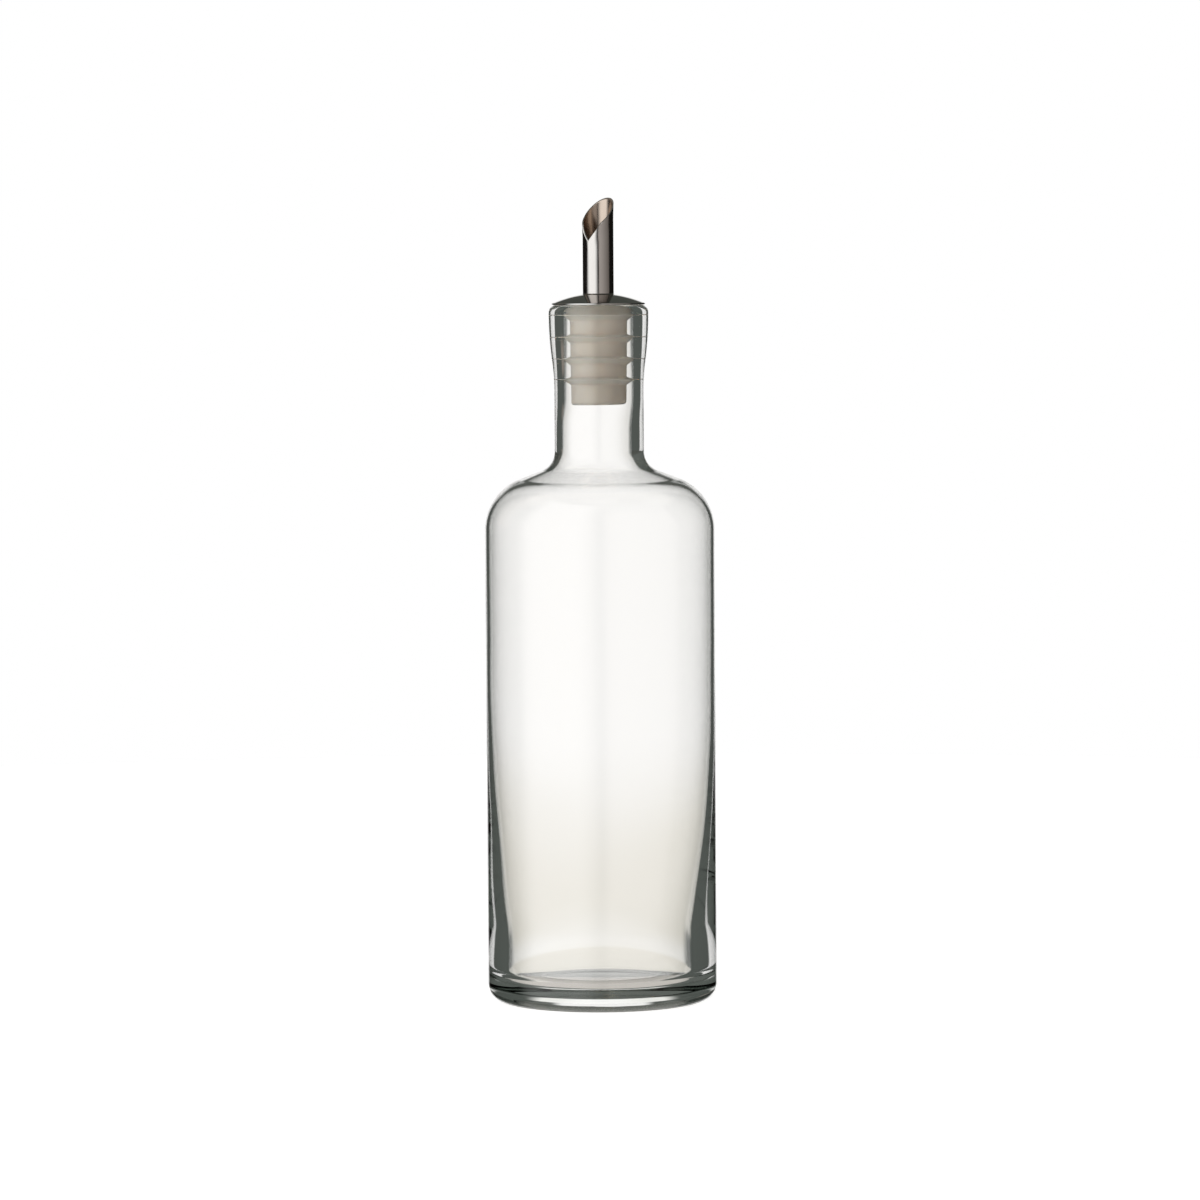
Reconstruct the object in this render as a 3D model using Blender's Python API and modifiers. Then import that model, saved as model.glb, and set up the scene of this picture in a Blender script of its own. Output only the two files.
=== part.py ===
"""Kitchen oil bottle of thick clear glass, with a steel pourer held by a ribbed soft stopper.

Units are metres and +Z is up. The origin is the centre of the base, on the surface the bottle stands on.
The bottle is turned about Z. The stopper hangs in the neck, and the steel spout passes down through it.
"""

import math

import bmesh
import bpy
from mathutils import Matrix, Vector

MM = 0.001

# --- Bottle, outside ---
BODY_DIAMETER = 73.5 * MM
BODY_HEIGHT = 151.3 * MM            # base to the end of the straight side
SHOULDER_RADIUS = 17.3 * MM
SHOULDER_SLOPE = math.radians(21.0)  # fall of the straight part of the shoulder
NECK_HEIGHT = 46.8 * MM             # end of the neck's foot fillet to the top of the lip
NECK_FILLET = 6.5 * MM
NECK_WALL = 3.05 * MM
LIP_FLARE = 1.7 * MM                # how far the lip stands out from the neck
LIP_EDGE_RADIUS = 2.4 * MM
LIP_TAPER = 24.8 * MM               # length of the flowing taper from lip to neck
LIP_TAPER_TURN = 0.636              # share of the taper that curves outwards
LIP_INNER_RADIUS = 0.8 * MM
HEEL_RADIUS = 5.6 * MM
BEARING_RING_WIDTH = 4.0 * MM
PUSH_UP = 1.2 * MM                  # rise of the underside's middle

# --- Bottle, inside ---
BORE_DIAMETER = 22.5 * MM
WALL_TOP = 1.2 * MM
WALL_BOTTOM = 7.2 * MM
WALL_TAPER_START = 14.0 * MM        # the wall is thickest below this height
WALL_TAPER_LENGTH = 90.0 * MM
WALL_TAPER_TURN = 0.872             # share of the wall's taper that curves outwards
FLOOR_THICKNESS = 7.0 * MM
FLOOR_CORNER_RADIUS = 4.5 * MM
INNER_SHOULDER_RADIUS = 15.6 * MM
INNER_SHOULDER_SLOPE = math.radians(21.0)
INNER_NECK_FILLET = 5.0 * MM

# --- Fit between pieces ---
FIT_GAP = 0.3 * MM

# --- Stopper ---
STOPPER_REACH = 31.8 * MM           # lip to the stopper's lower face
STOPPER_TAPER = 0.35 * MM           # how much the core's radius shrinks downwards
STOPPER_CORNER_RADIUS = 1.0 * MM
FIN_COUNT = 4
FIN_DEPTH = 1.8 * MM
FIN_TIP_THICKNESS = 0.4 * MM
FIN_RISE_ABOVE = 0.9 * MM           # root above the tip's middle
FIN_DROP_BELOW = 1.5 * MM           # root below the tip's middle
FIRST_FIN_DEPTH = 3.2 * MM          # lip to the first fin's tip
LAST_FIN_HEIGHT = 8.2 * MM          # last fin's tip above the lower face

# --- Steel disc ---
DISC_INSET = 1.0 * MM               # disc's edge inside the lip's widest circle
DISC_THICKNESS = 0.65 * MM
DOME_RADIUS = 37.0 * MM

# --- Steel spout and breather ---
TUBE_DIAMETER = 10.0 * MM
TUBE_WALL = 0.5 * MM
TUBE_END_INSET = 0.6 * MM           # tube's lower end above the stopper's lower face
TIP_HEIGHT = 34.3 * MM              # spout's tip above the lip
MOUTH_SLOPE = math.radians(46.0)
MOUTH_DEPTH = 14.0 * MM             # tip to the lowest point of the mouth
MOUTH_HEADING = math.radians(230.0)  # direction, from +X, that the low side of the mouth faces
NOTCH_WIDTH = 1.3 * MM              # width over which the mouth's low side turns down
NOTCH_OVERRUN = 1.25                # how far past the tube the notch's curve is carried, in notch widths
BREATHER_DIAMETER = 2.4 * MM
BREATHER_WALL = 0.4 * MM
BREATHER_DROP = 4.0 * MM            # breather's top below the mouth's lowest point

# --- Smoothness: straight pieces in a full turn, and in each rounded stretch of a section ---
TURN_STEPS = 48
BREATHER_STEPS = 20
LIP_STEPS = 5
LIP_TAPER_STEPS = 4                 # in each of the taper's two arcs
NECK_FILLET_STEPS = 6
SHOULDER_STEPS = 9
HEEL_STEPS = 5
PUSH_UP_STEPS = 3
LIP_INNER_STEPS = 3
INNER_NECK_STEPS = 4
INNER_SHOULDER_STEPS = 8
WALL_TAPER_STEPS = 5                # in each of the wall's two arcs
FLOOR_CORNER_STEPS = 4
STOPPER_CORNER_STEPS = 3
DOME_RINGS = 6
NOTCH_STEPS = 8
SMOOTH_ANGLE = math.radians(35.0)
MERGE_DISTANCE = 0.00001
CUTTER_MARGIN = 3.0 * MM

# --- Worked out from the sizes above ---
BODY_R = BODY_DIAMETER / 2
BORE_R = BORE_DIAMETER / 2
NECK_R = BORE_R + NECK_WALL
LIP_R = NECK_R + LIP_FLARE
TUBE_R = TUBE_DIAMETER / 2
TUBE_BORE_R = TUBE_R - TUBE_WALL
BREATHER_R = BREATHER_DIAMETER / 2
SLOPE_TURN = math.pi / 2 - SHOULDER_SLOPE
INNER_SLOPE_TURN = math.pi / 2 - INNER_SHOULDER_SLOPE

SHOULDER_END = Vector((
    BODY_R - SHOULDER_RADIUS * (1 - math.cos(SLOPE_TURN)),
    BODY_HEIGHT + SHOULDER_RADIUS * math.sin(SLOPE_TURN),
))
FILLET_END_R = NECK_R + NECK_FILLET * (1 - math.cos(SLOPE_TURN))
FILLET_END_Z = SHOULDER_END.y + (SHOULDER_END.x - FILLET_END_R) * math.tan(SHOULDER_SLOPE)
NECK_FOOT_Z = FILLET_END_Z + NECK_FILLET * math.sin(SLOPE_TURN)
LIP_Z = NECK_FOOT_Z + NECK_HEIGHT
STOPPER_BOTTOM_Z = LIP_Z - STOPPER_REACH
LIP_EDGE_CENTRE_R = LIP_R - LIP_EDGE_RADIUS
DISC_R = LIP_R - DISC_INSET
RIM_REACH = max(0.0, DISC_R - LIP_EDGE_CENTRE_R)    # how far the disc's rim lies over the lip's rounded edge
RIM_RISE = math.sqrt((LIP_EDGE_RADIUS + FIT_GAP) ** 2 - RIM_REACH ** 2)
DISC_BOTTOM_Z = LIP_Z - LIP_EDGE_RADIUS + RIM_RISE
TIP_Z = LIP_Z + TIP_HEIGHT
MOUTH_LOW_Z = TIP_Z - MOUTH_DEPTH
TUBE_BOTTOM_Z = STOPPER_BOTTOM_Z + TUBE_END_INSET


def arc(centre_r, centre_z, radius, start, end, steps):
    """Points (r, z) along an arc, from the start angle to the end angle in degrees."""
    points = []
    for step in range(steps + 1):
        angle = math.radians(start + (end - start) * step / steps)
        points.append((centre_r + radius * math.cos(angle), centre_z + radius * math.sin(angle)))
    return points


def ogee(top_r, top_z, bottom_r, bottom_z, turn, steps):
    """Two tangent arcs that join two vertical walls, bulging first and hollow after, from the top down."""
    inset = top_r - bottom_r
    drop = top_z - bottom_z
    angle = 2 * math.degrees(math.atan2(inset, drop))
    radius_sum = drop / math.sin(math.radians(angle))
    upper_radius = radius_sum * turn
    lower_radius = radius_sum - upper_radius
    upper = arc(top_r - upper_radius, top_z, upper_radius, 0, -angle, steps)
    lower = arc(bottom_r + lower_radius, bottom_z, lower_radius, 180 - angle, 180, steps)
    return upper + lower[1:]


def without_repeats(points):
    """The points in order, with each one that repeats its neighbour left out."""
    kept = [points[0]]
    for point in points[1:]:
        if math.dist(point, kept[-1]) > MERGE_DISTANCE:
            kept.append(point)
    return kept


def dome_z(radius):
    """Height of the disc's upper side above its rim's upper edge."""
    return math.sqrt(DOME_RADIUS ** 2 - radius ** 2) - math.sqrt(DOME_RADIUS ** 2 - DISC_R ** 2)


def material(name, colour, roughness, metallic, transmission=0.0):
    """A Principled material."""
    made = bpy.data.materials.new(name)
    made.use_nodes = True
    shader = made.node_tree.nodes["Principled BSDF"]
    shader.inputs["Base Color"].default_value = (*colour, 1.0)
    shader.inputs["Roughness"].default_value = roughness
    shader.inputs["Metallic"].default_value = metallic
    shader.inputs["Transmission Weight"].default_value = transmission
    return made


def add_object(name, mesh, collection):
    """An object for the mesh, in the collection."""
    piece = bpy.data.objects.new(name, mesh)
    collection.objects.link(piece)
    return piece


def turned(name, profile, closed, steps, finish, collection):
    """A turned piece: the profile (r, z), which runs down its outer side, swept about Z by a Screw."""
    shape = bmesh.new()
    points = [shape.verts.new((radius, 0.0, height)) for radius, height in without_repeats(profile)]
    for first, second in zip(points, points[1:]):
        shape.edges.new((first, second))
    if closed:
        shape.edges.new((points[-1], points[0]))
    mesh = bpy.data.meshes.new(name)
    shape.to_mesh(mesh)
    shape.free()
    mesh.materials.append(finish)
    piece = add_object(name, mesh, collection)
    sweep = piece.modifiers.new("sweep", "SCREW")
    sweep.axis = "Z"
    sweep.steps = steps
    sweep.render_steps = steps
    sweep.use_merge_vertices = True
    sweep.merge_threshold = MERGE_DISTANCE
    sweep.use_smooth_shade = True
    return piece


def bottle_outside():
    """The bottle's outer side, from the top of the lip down to the middle of the underside."""
    lip_edge = arc(LIP_EDGE_CENTRE_R, LIP_Z - LIP_EDGE_RADIUS, LIP_EDGE_RADIUS, 90, 0, LIP_STEPS)
    lip_taper_top = LIP_Z - LIP_EDGE_RADIUS
    taper_foot = lip_taper_top - LIP_TAPER
    taper = ogee(LIP_R, lip_taper_top, NECK_R, taper_foot, LIP_TAPER_TURN, LIP_TAPER_STEPS)
    turn = math.degrees(SLOPE_TURN)
    neck_foot = arc(NECK_R + NECK_FILLET, NECK_FOOT_Z, NECK_FILLET, 180, 180 + turn, NECK_FILLET_STEPS)
    shoulder = arc(BODY_R - SHOULDER_RADIUS, BODY_HEIGHT, SHOULDER_RADIUS, turn, 0, SHOULDER_STEPS)
    heel = arc(BODY_R - HEEL_RADIUS, HEEL_RADIUS, HEEL_RADIUS, 0, -90, HEEL_STEPS)
    ring_inner_r = BODY_R - HEEL_RADIUS - BEARING_RING_WIDTH
    push_up_radius = (ring_inner_r ** 2 + PUSH_UP ** 2) / (2 * PUSH_UP)
    push_up_turn = math.degrees(math.asin(ring_inner_r / push_up_radius))
    push_up_start = 90 - push_up_turn
    underside = arc(0.0, PUSH_UP - push_up_radius, push_up_radius, push_up_start, 90, PUSH_UP_STEPS)
    return lip_edge + taper + neck_foot + shoulder + heel + underside


def bottle_inside():
    """The bottle's inner side, from the middle of the floor up to the inner edge of the lip."""
    wall_bottom_r = BODY_R - WALL_BOTTOM
    wall_top_r = BODY_R - WALL_TOP
    corner_r = wall_bottom_r - FLOOR_CORNER_RADIUS
    corner_z = FLOOR_THICKNESS + FLOOR_CORNER_RADIUS
    corner = arc(corner_r, corner_z, FLOOR_CORNER_RADIUS, -90, 0, FLOOR_CORNER_STEPS)
    taper_top_z = WALL_TAPER_START + WALL_TAPER_LENGTH
    wall = ogee(
        wall_top_r, taper_top_z, wall_bottom_r, WALL_TAPER_START, WALL_TAPER_TURN, WALL_TAPER_STEPS
    )
    turn = math.degrees(INNER_SLOPE_TURN)
    shoulder_centre_r = wall_top_r - INNER_SHOULDER_RADIUS
    shoulder = arc(shoulder_centre_r, BODY_HEIGHT, INNER_SHOULDER_RADIUS, 0, turn, INNER_SHOULDER_STEPS)
    shoulder_end_r, shoulder_end_z = shoulder[-1]
    fillet_end_r = BORE_R + INNER_NECK_FILLET * (1 - math.cos(INNER_SLOPE_TURN))
    fillet_end_z = shoulder_end_z + (shoulder_end_r - fillet_end_r) * math.tan(INNER_SHOULDER_SLOPE)
    bore_foot_z = fillet_end_z + INNER_NECK_FILLET * math.sin(INNER_SLOPE_TURN)
    foot_centre_r = BORE_R + INNER_NECK_FILLET
    neck_foot = arc(foot_centre_r, bore_foot_z, INNER_NECK_FILLET, 180 + turn, 180, INNER_NECK_STEPS)
    lip_centre_r = BORE_R + LIP_INNER_RADIUS
    lip = arc(lip_centre_r, LIP_Z - LIP_INNER_RADIUS, LIP_INNER_RADIUS, 180, 90, LIP_INNER_STEPS)
    return [(0.0, FLOOR_THICKNESS)] + corner + wall[::-1] + shoulder + neck_foot + lip


def make_bottle(collection):
    """The glass bottle, one closed solid that is open at the lip."""
    glass = material("clear_glass", (0.80, 0.86, 0.84), 0.02, 0.0, 1.0)
    turned("bottle", bottle_inside() + bottle_outside(), False, TURN_STEPS, glass, collection)


def stopper_core_r(height):
    """Radius of the stopper's core, which narrows downwards."""
    top_r = BORE_R - FIT_GAP - FIN_DEPTH
    return top_r - STOPPER_TAPER * (LIP_Z - height) / STOPPER_REACH


def fin(tip_z):
    """One sealing fin's outline, from its upper root to its lower root."""
    tip_r = BORE_R - FIT_GAP
    upper_z = tip_z + FIN_RISE_ABOVE
    lower_z = tip_z - FIN_DROP_BELOW
    half_tip = FIN_TIP_THICKNESS / 2
    return [
        (stopper_core_r(upper_z), upper_z),
        (tip_r, tip_z + half_tip),
        (tip_r, tip_z - half_tip),
        (stopper_core_r(lower_z), lower_z),
    ]


def make_stopper(collection):
    """The soft stopper: a hollow core with four wedge-shaped fins, all one moulding."""
    soft = material("frosted_silicone", (0.70, 0.67, 0.62), 0.55, 0.0)
    top_r = stopper_core_r(LIP_Z)
    top_z = DISC_BOTTOM_Z + dome_z(top_r) - FIT_GAP
    bore_r = TUBE_R + FIT_GAP
    profile = [(bore_r, top_z), (top_r, top_z)]
    first_fin_z = LIP_Z - FIRST_FIN_DEPTH
    last_fin_z = STOPPER_BOTTOM_Z + LAST_FIN_HEIGHT
    pitch = (first_fin_z - last_fin_z) / (FIN_COUNT - 1)
    for index in range(FIN_COUNT):
        profile += fin(first_fin_z - pitch * index)
    corner_r = stopper_core_r(STOPPER_BOTTOM_Z) - STOPPER_CORNER_RADIUS
    corner_z = STOPPER_BOTTOM_Z + STOPPER_CORNER_RADIUS
    profile += arc(corner_r, corner_z, STOPPER_CORNER_RADIUS, 0, -90, STOPPER_CORNER_STEPS)
    profile.append((bore_r, STOPPER_BOTTOM_Z))
    turned("stopper", profile, True, TURN_STEPS, soft, collection)


def make_cap_disc(collection):
    """The domed steel disc that covers the lip, with a hole for the spout."""
    steel = material("polished_steel", (0.62, 0.61, 0.60), 0.12, 1.0)
    hole_r = TUBE_R + FIT_GAP
    radii = [hole_r + (DISC_R - hole_r) * ring / DOME_RINGS for ring in range(DOME_RINGS + 1)]
    upper = [(radius, DISC_BOTTOM_Z + DISC_THICKNESS + dome_z(radius)) for radius in radii]
    lower = [(radius, DISC_BOTTOM_Z + dome_z(radius)) for radius in reversed(radii)]
    turned("cap_disc", upper + lower, True, TURN_STEPS, steel, collection)


def tube_profile(outer_r, wall, bottom_z, top_z):
    """A plain tube's section."""
    return [(outer_r - wall, top_z), (outer_r, top_z), (outer_r, bottom_z), (outer_r - wall, bottom_z)]


def mouth_outline():
    """Outline (along, z) of what the slanted cut takes away: straight, then turned down into a notch."""
    notch_start = TUBE_R - NOTCH_WIDTH
    notch_depth = TIP_Z - 2 * TUBE_R * math.tan(MOUTH_SLOPE) - MOUTH_LOW_Z
    far = TUBE_R + CUTTER_MARGIN
    outline = [(-far, TIP_Z + CUTTER_MARGIN * math.tan(MOUTH_SLOPE))]
    for step in range(NOTCH_STEPS + 1):
        share = NOTCH_OVERRUN * step / NOTCH_STEPS
        along = notch_start + NOTCH_WIDTH * share
        slope_z = TIP_Z - (TUBE_R + along) * math.tan(MOUTH_SLOPE)
        outline.append((along, slope_z - notch_depth * share ** 2))
    outline.append((far, outline[-1][1]))
    outline.append((far, outline[0][1]))
    return outline


def mouth_cutter(collection):
    """The prism that cuts the spout's mouth, with the notch on the side that MOUTH_HEADING names."""
    outline = mouth_outline()
    flat = bpy.data.curves.new("mouth_outline", "CURVE")
    flat.dimensions = "2D"
    flat.fill_mode = "BOTH"
    flat.extrude = TUBE_R + CUTTER_MARGIN
    spline = flat.splines.new("POLY")
    spline.points.add(len(outline) - 1)
    for point, (along, height) in zip(spline.points, outline):
        point.co = (along, height, 0.0, 1.0)
    spline.use_cyclic_u = True
    guide = add_object("mouth_outline", flat, collection)
    low_side = Vector((math.cos(MOUTH_HEADING), math.sin(MOUTH_HEADING), 0.0))
    up = Vector((0.0, 0.0, 1.0))
    guide.matrix_world = Matrix((low_side, up, low_side.cross(up))).transposed().to_4x4()
    bpy.context.view_layer.update()
    mesh = bpy.data.meshes.new_from_object(guide.evaluated_get(bpy.context.evaluated_depsgraph_get()))
    shape = bmesh.new()
    shape.from_mesh(mesh)
    bmesh.ops.remove_doubles(shape, verts=shape.verts, dist=MERGE_DISTANCE)
    bmesh.ops.recalc_face_normals(shape, faces=shape.faces)
    shape.to_mesh(mesh)
    shape.free()
    cutter = add_object("mouth_cutter", mesh, collection)
    cutter.matrix_world = guide.matrix_world
    bpy.data.objects.remove(guide)
    cutter.hide_render = True
    cutter.display_type = "WIRE"
    return cutter


def make_spout(collection, cutters):
    """The steel spout: a thin tube down through disc and stopper, with a slanted mouth."""
    steel = material("satin_steel", (0.60, 0.58, 0.57), 0.25, 1.0)
    profile = tube_profile(TUBE_R, TUBE_WALL, TUBE_BOTTOM_Z, TIP_Z + CUTTER_MARGIN)
    spout = turned("spout_tube", profile, True, TURN_STEPS, steel, collection)
    spout.rotation_euler.z = MOUTH_HEADING
    cut = spout.modifiers.new("mouth", "BOOLEAN")
    cut.operation = "DIFFERENCE"
    cut.solver = "EXACT"
    cut.object = mouth_cutter(cutters)


def make_breather(collection):
    """The thin air tube, along the inside of the spout's short side."""
    steel = material("breather_steel", (0.60, 0.60, 0.60), 0.30, 1.0)
    profile = tube_profile(BREATHER_R, BREATHER_WALL, TUBE_BOTTOM_Z, MOUTH_LOW_Z - BREATHER_DROP)
    breather = turned("breather_tube", profile, True, BREATHER_STEPS, steel, collection)
    offset = TUBE_BORE_R - FIT_GAP - BREATHER_R
    breather.location = (offset * math.cos(MOUTH_HEADING), offset * math.sin(MOUTH_HEADING), 0.0)
    breather.rotation_euler.z = MOUTH_HEADING


def settle(collection):
    """Takes each piece's modifiers into its mesh and shades it smooth, with its edges kept sharp."""
    bpy.context.view_layer.update()
    depsgraph = bpy.context.evaluated_depsgraph_get()
    settled = {piece: bpy.data.meshes.new_from_object(piece.evaluated_get(depsgraph))
               for piece in collection.objects}
    for piece, mesh in settled.items():
        mesh.shade_smooth()
        mesh.set_sharp_from_angle(angle=SMOOTH_ANGLE)
        piece.modifiers.clear()
        piece.data = mesh


def new_collection(name):
    """A collection in the scene."""
    collection = bpy.data.collections.new(name)
    bpy.context.scene.collection.children.link(collection)
    return collection


def main():
    for old in list(bpy.data.objects):
        bpy.data.objects.remove(old, do_unlink=True)
    parts = new_collection("oil_bottle")
    cutters = new_collection("cutters")
    make_bottle(parts)
    make_stopper(parts)
    make_cap_disc(parts)
    make_spout(parts, cutters)
    make_breather(parts)
    settle(parts)


main()
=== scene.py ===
"""Looks of a glass oil bottle with a steel pourer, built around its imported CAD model.

Units are metres and +Z is up. The bottle stands at the origin, and the camera looks along +Y.
Colours are linear red, green, blue and 1.
"""

import math
from collections import namedtuple

import bmesh
import bpy
import numpy as np
from mathutils import Matrix, Vector


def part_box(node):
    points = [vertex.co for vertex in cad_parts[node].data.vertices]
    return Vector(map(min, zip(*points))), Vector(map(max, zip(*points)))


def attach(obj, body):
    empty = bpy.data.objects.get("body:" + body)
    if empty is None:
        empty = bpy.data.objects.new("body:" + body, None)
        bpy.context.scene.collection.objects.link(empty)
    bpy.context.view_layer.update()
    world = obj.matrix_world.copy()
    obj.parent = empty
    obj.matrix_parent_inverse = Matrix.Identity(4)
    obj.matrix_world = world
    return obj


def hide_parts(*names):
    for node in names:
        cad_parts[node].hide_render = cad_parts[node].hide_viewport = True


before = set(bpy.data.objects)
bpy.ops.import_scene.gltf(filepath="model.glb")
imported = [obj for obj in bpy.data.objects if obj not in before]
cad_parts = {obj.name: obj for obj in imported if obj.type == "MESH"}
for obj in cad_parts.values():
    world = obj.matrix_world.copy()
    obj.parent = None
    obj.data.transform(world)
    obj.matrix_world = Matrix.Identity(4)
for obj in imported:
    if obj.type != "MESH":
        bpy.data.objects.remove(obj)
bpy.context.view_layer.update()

MM = 0.001

# --- Camera ---
CAMERA_DISTANCE = 1.79
CAMERA_HEIGHT = 0.236
CAMERA_AIM_X = -0.08 * MM
CAMERA_AIM_Z = 0.1287
CAMERA_LENS = 168.0
CAMERA_ROLL = math.radians(-0.36)

# --- Bottle, in the sizes of the CAD model ---
BOTTLE_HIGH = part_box("bottle")[1]
BODY_R = BOTTLE_HIGH.x
LIP_Z = BOTTLE_HIGH.z
BODY_HEIGHT = 151.3 * MM
SHOULDER_RADIUS = 17.3 * MM
SHOULDER_SLOPE = math.radians(21.0)
NECK_FILLET = 6.5 * MM
NECK_R = 14.3 * MM
LIP_R = 16.0 * MM
LIP_EDGE_RADIUS = 2.4 * MM
LIP_TAPER = 24.8 * MM
LIP_TAPER_TURN = 0.636              # share of the taper's bend that its upper arc takes
LIP_INNER_RADIUS = 0.8 * MM
HEEL_RADIUS = 5.6 * MM
BEARING_RING_WIDTH = 4.0 * MM
PUSH_UP = 1.2 * MM
BORE_R = 11.25 * MM
WALL_TOP = 1.2 * MM
WALL_BOTTOM = 7.2 * MM
WALL_TAPER_START = 14.0 * MM
WALL_TAPER_LENGTH = 90.0 * MM
WALL_TAPER_TURN = 0.872
FLOOR_THICKNESS = 7.0 * MM
FLOOR_CORNER_RADIUS = 4.5 * MM
INNER_SHOULDER_RADIUS = 15.6 * MM
INNER_SHOULDER_SLOPE = math.radians(21.0)
INNER_NECK_FILLET = 9.5 * MM        # rounder than the CAD's

# --- Marks and unevenness of the blown glass, which the CAD model leaves out ---
MARK_R = 2.4 * MM                   # round mould mark in the middle of the underside
MARK_DEPTH = 0.16 * MM
MARK_WIDTH = 0.30 * MM
FLOOR_RING_R = 18.9 * MM            # faint step that the parison leaves on the floor
FLOOR_RING_DEPTH = 0.18 * MM
FLOOR_RING_WIDTH = 1.2 * MM
FLOOR_WAVE = 0.4                    # the floor's own waves, as a share of that step
FLOOR_WAVE_TOP = 0.5 * MM           # both stop this far up the corner above the floor
LEAN_BASE = -0.6 * MM               # the cavity's middle leans to -X near the floor
LEAN_BASE_FADE = (18 * MM, 62 * MM)
LEAN_NECK = -0.50 * MM              # and again in the neck, below the stopper
LEAN_NECK_START = (165 * MM, 178 * MM)
LEAN_NECK_END = (184 * MM, 194 * MM)
INNER_WAVE = 0.05 * MM
INNER_WAVE_END = (LIP_Z - 36 * MM, LIP_Z - 30 * MM)     # the bore is even above it, where the fins press
OUTER_WAVE = 0.015 * MM
OUTER_WAVE_START = (0.0, 20 * MM)
# A swell is: its share, how many lobes it has round the bottle, how it twists with height, and its start.
SWELLS = ((0.50, 2, 46.0, 0.6), (0.30, 3, -95.0, 2.1), (0.20, 5, 190.0, 4.0))

# --- Pourer ---
STOPPER_LOW, STOPPER_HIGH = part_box("stopper")
DISC_LOW, DISC_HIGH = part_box("cap_disc")
TUBE_LOW, TUBE_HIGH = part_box("spout_tube")
BREATHER_LOW, BREATHER_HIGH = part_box("breather_tube")
TUBE_R = 5.0 * MM
TUBE_INSET = 0.05 * MM              # how far the straight tube stays inside that radius
TUBE_WALL = 0.5 * MM
TUBE_EDGE = 0.06 * MM
TUBE_SHARP_ANGLE = math.radians(40.0)
MOUTH_HEADING = math.radians(230.0)
MOUTH_SLOPE = math.radians(46.0)
MOUTH_DEPTH = 14.0 * MM
MOUTH_FLARE = 0.10 * MM
MOUTH_FLARE_LENGTH = 5.0 * MM
NOTCH_HALF_TURN = math.radians(52.0)
NOTCH_HOLLOW = 1.3                  # over 1 makes the notch's sides hollow and eases them into the cut
DISC_R = DISC_HIGH.x
DISC_THICKNESS = 0.65 * MM
DISC_EDGE = 0.305 * MM
DISC_HOLE_GAP = 0.01 * MM
DOME_RADIUS = 37.0 * MM
BRAZE_FILLET = 0.25 * MM
BREATHER_R = 1.2 * MM
BREATHER_WALL = 0.4 * MM
BREATHER_EDGE = 0.08 * MM

# --- Stopper's section ---
STOPPER_HOLE_GAP = 0.02 * MM
STOPPER_EDGE = 0.3 * MM
CORE_TOP_R = 9.15 * MM
CORE_TAPER = 0.35 * MM
CORE_CORNER_RADIUS = 1.0 * MM
FIN_COUNT = 4
FIN_TIP_THICKNESS = 0.40 * MM
FIN_RISE_ABOVE = 0.9 * MM
FIN_DROP_BELOW = 1.5 * MM
FIN_ROOT_EASE = 0.35 * MM
FIN_ROOT_DROP = 0.035 * MM          # the eased root's outer end lies this much nearer to the fin's tip
FIRST_FIN_DEPTH = 3.2 * MM
LAST_FIN_HEIGHT = 8.2 * MM
FIN_PRESS = 0.04 * MM               # how far a fin's tip is pressed against the glass

# --- How finely the pieces are divided: steps round the axis, rows and stretches along a section ---
GLASS_STEPS = 240
GLASS_STRETCH = 2.2 * MM
FLOOR_ROWS = 30
MARK_ROWS = 7                       # each side of the mark's ring
MARK_ROWS_PER_WIDTH = 3
STOPPER_STEPS = 160
STOPPER_STRETCH = 1.0 * MM
DISC_STEPS = 192
DISC_ROWS = 24
TUBE_STEPS = 192
TUBE_ROWS = 48
TUBE_CROWDING = 1.5                 # over 1 crowds the tube's rows towards its mouth
BREATHER_STEPS = 48
BREATHER_STRETCH = 2.0 * MM
STAGE_STEPS = 96

NOTHING = 1e-7                      # shorter than any real length
KNEE = 0.3                          # how far from its corner an eased corner bends, as a share of its size


# ---------------------------------------------------------------- camera

def make_camera():
    """The camera, a long lens a little above the bottle's shoulder and tilted down."""
    data = bpy.data.cameras.new("camera")
    data.lens = CAMERA_LENS
    camera = bpy.data.objects.new("camera", data)
    bpy.context.scene.collection.objects.link(camera)
    place = Vector((0.0, -CAMERA_DISTANCE, CAMERA_HEIGHT))
    aim = Vector((CAMERA_AIM_X, 0.0, CAMERA_AIM_Z))
    facing = (aim - place).to_track_quat("-Z", "Y").to_matrix().to_4x4()
    camera.matrix_world = Matrix.Translation(place) @ facing @ Matrix.Rotation(CAMERA_ROLL, 4, "Z")
    bpy.context.scene.camera = camera


make_camera()


# ---------------------------------------------------------------- node helpers

def add(tree, kind, **settings):
    """A node in the tree, with its properties set."""
    made = tree.nodes.new(kind)
    for name, value in settings.items():
        setattr(made, name, value)
    return made


def feed(tree, socket, value):
    """Links an output to an input, or sets the input's plain value."""
    if isinstance(value, bpy.types.NodeSocket):
        tree.links.new(value, socket)
    elif value is not None:
        socket.default_value = value


def maths(tree, operation, first, second=None, clamp=False):
    """A Math node's output."""
    made = add(tree, "ShaderNodeMath", operation=operation, use_clamp=clamp)
    feed(tree, made.inputs[0], first)
    feed(tree, made.inputs[1], second)
    return made.outputs[0]


def ramped(tree, value, low, high, out_low=0.0, out_high=1.0, smooth=True):
    """The value mapped from low..high to out_low..out_high, and held at both ends."""
    made = add(tree, "ShaderNodeMapRange", clamp=True)
    made.interpolation_type = "SMOOTHSTEP" if smooth else "LINEAR"
    feed(tree, made.inputs["Value"], value)
    feed(tree, made.inputs["From Min"], low)
    feed(tree, made.inputs["From Max"], high)
    feed(tree, made.inputs["To Min"], out_low)
    feed(tree, made.inputs["To Max"], out_high)
    return made.outputs["Result"]


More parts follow.
